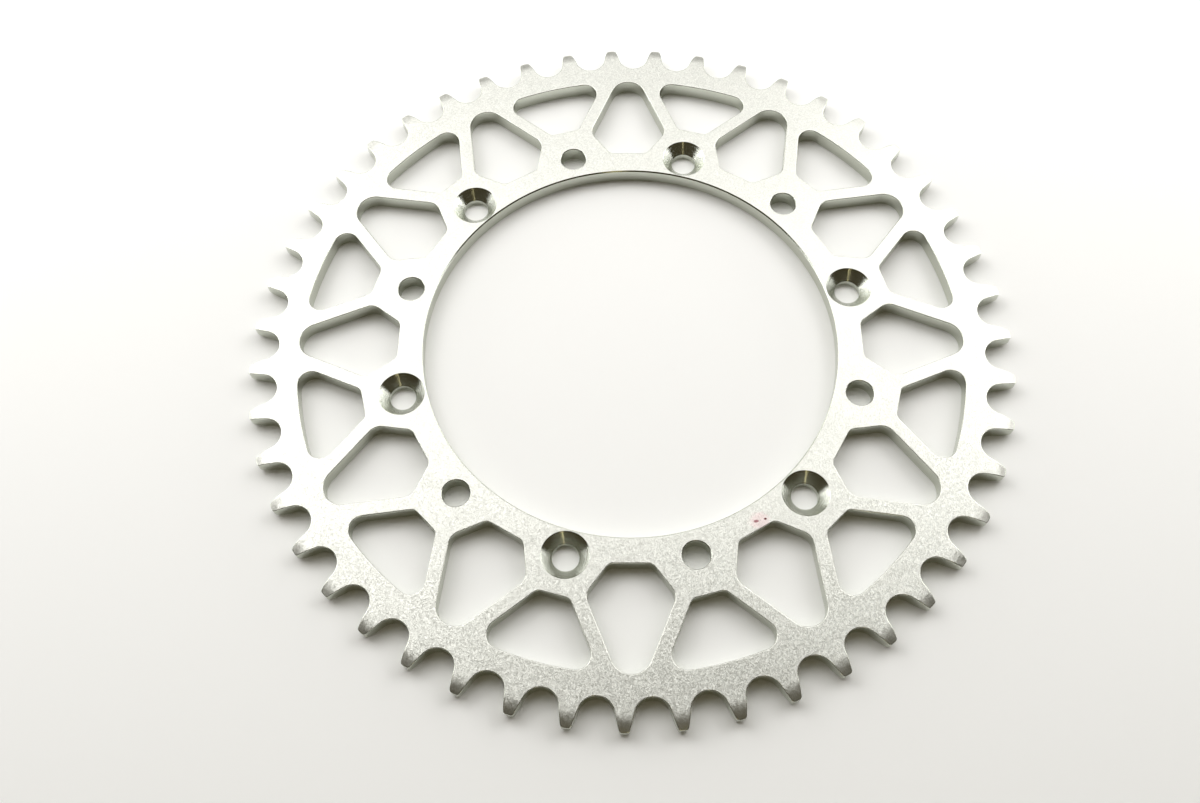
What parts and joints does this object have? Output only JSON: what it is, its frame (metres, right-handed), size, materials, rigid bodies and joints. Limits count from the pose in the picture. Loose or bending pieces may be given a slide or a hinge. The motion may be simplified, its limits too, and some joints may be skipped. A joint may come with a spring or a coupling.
{
  "type": "rear sprocket",
  "caption": "One-piece steel rear chain sprocket for a motorcycle, with two rings of weight-saving windows and plain and countersunk bolt holes.",
  "frame": {"origin": "centre of the bolt circle on the underside, the flat face that seats on the wheel hub", "axes": "+Z along the wheel's axle, from the hub face towards the countersunk face; +X through the middle of one plain bolt hole; +Y completes the right-handed set"},
  "size_m": [0.2465, 0.2465, 0.0055],
  "materials": {
    "zinc_plated_steel": "bright zinc plating over fine-grained cold-rolled steel, with bare-bright turned countersinks and chamfers"
  },
  "bodies": {
    "root": {"sprocket_plate": "zinc_plated_steel"}
  },
  "joints": []
}
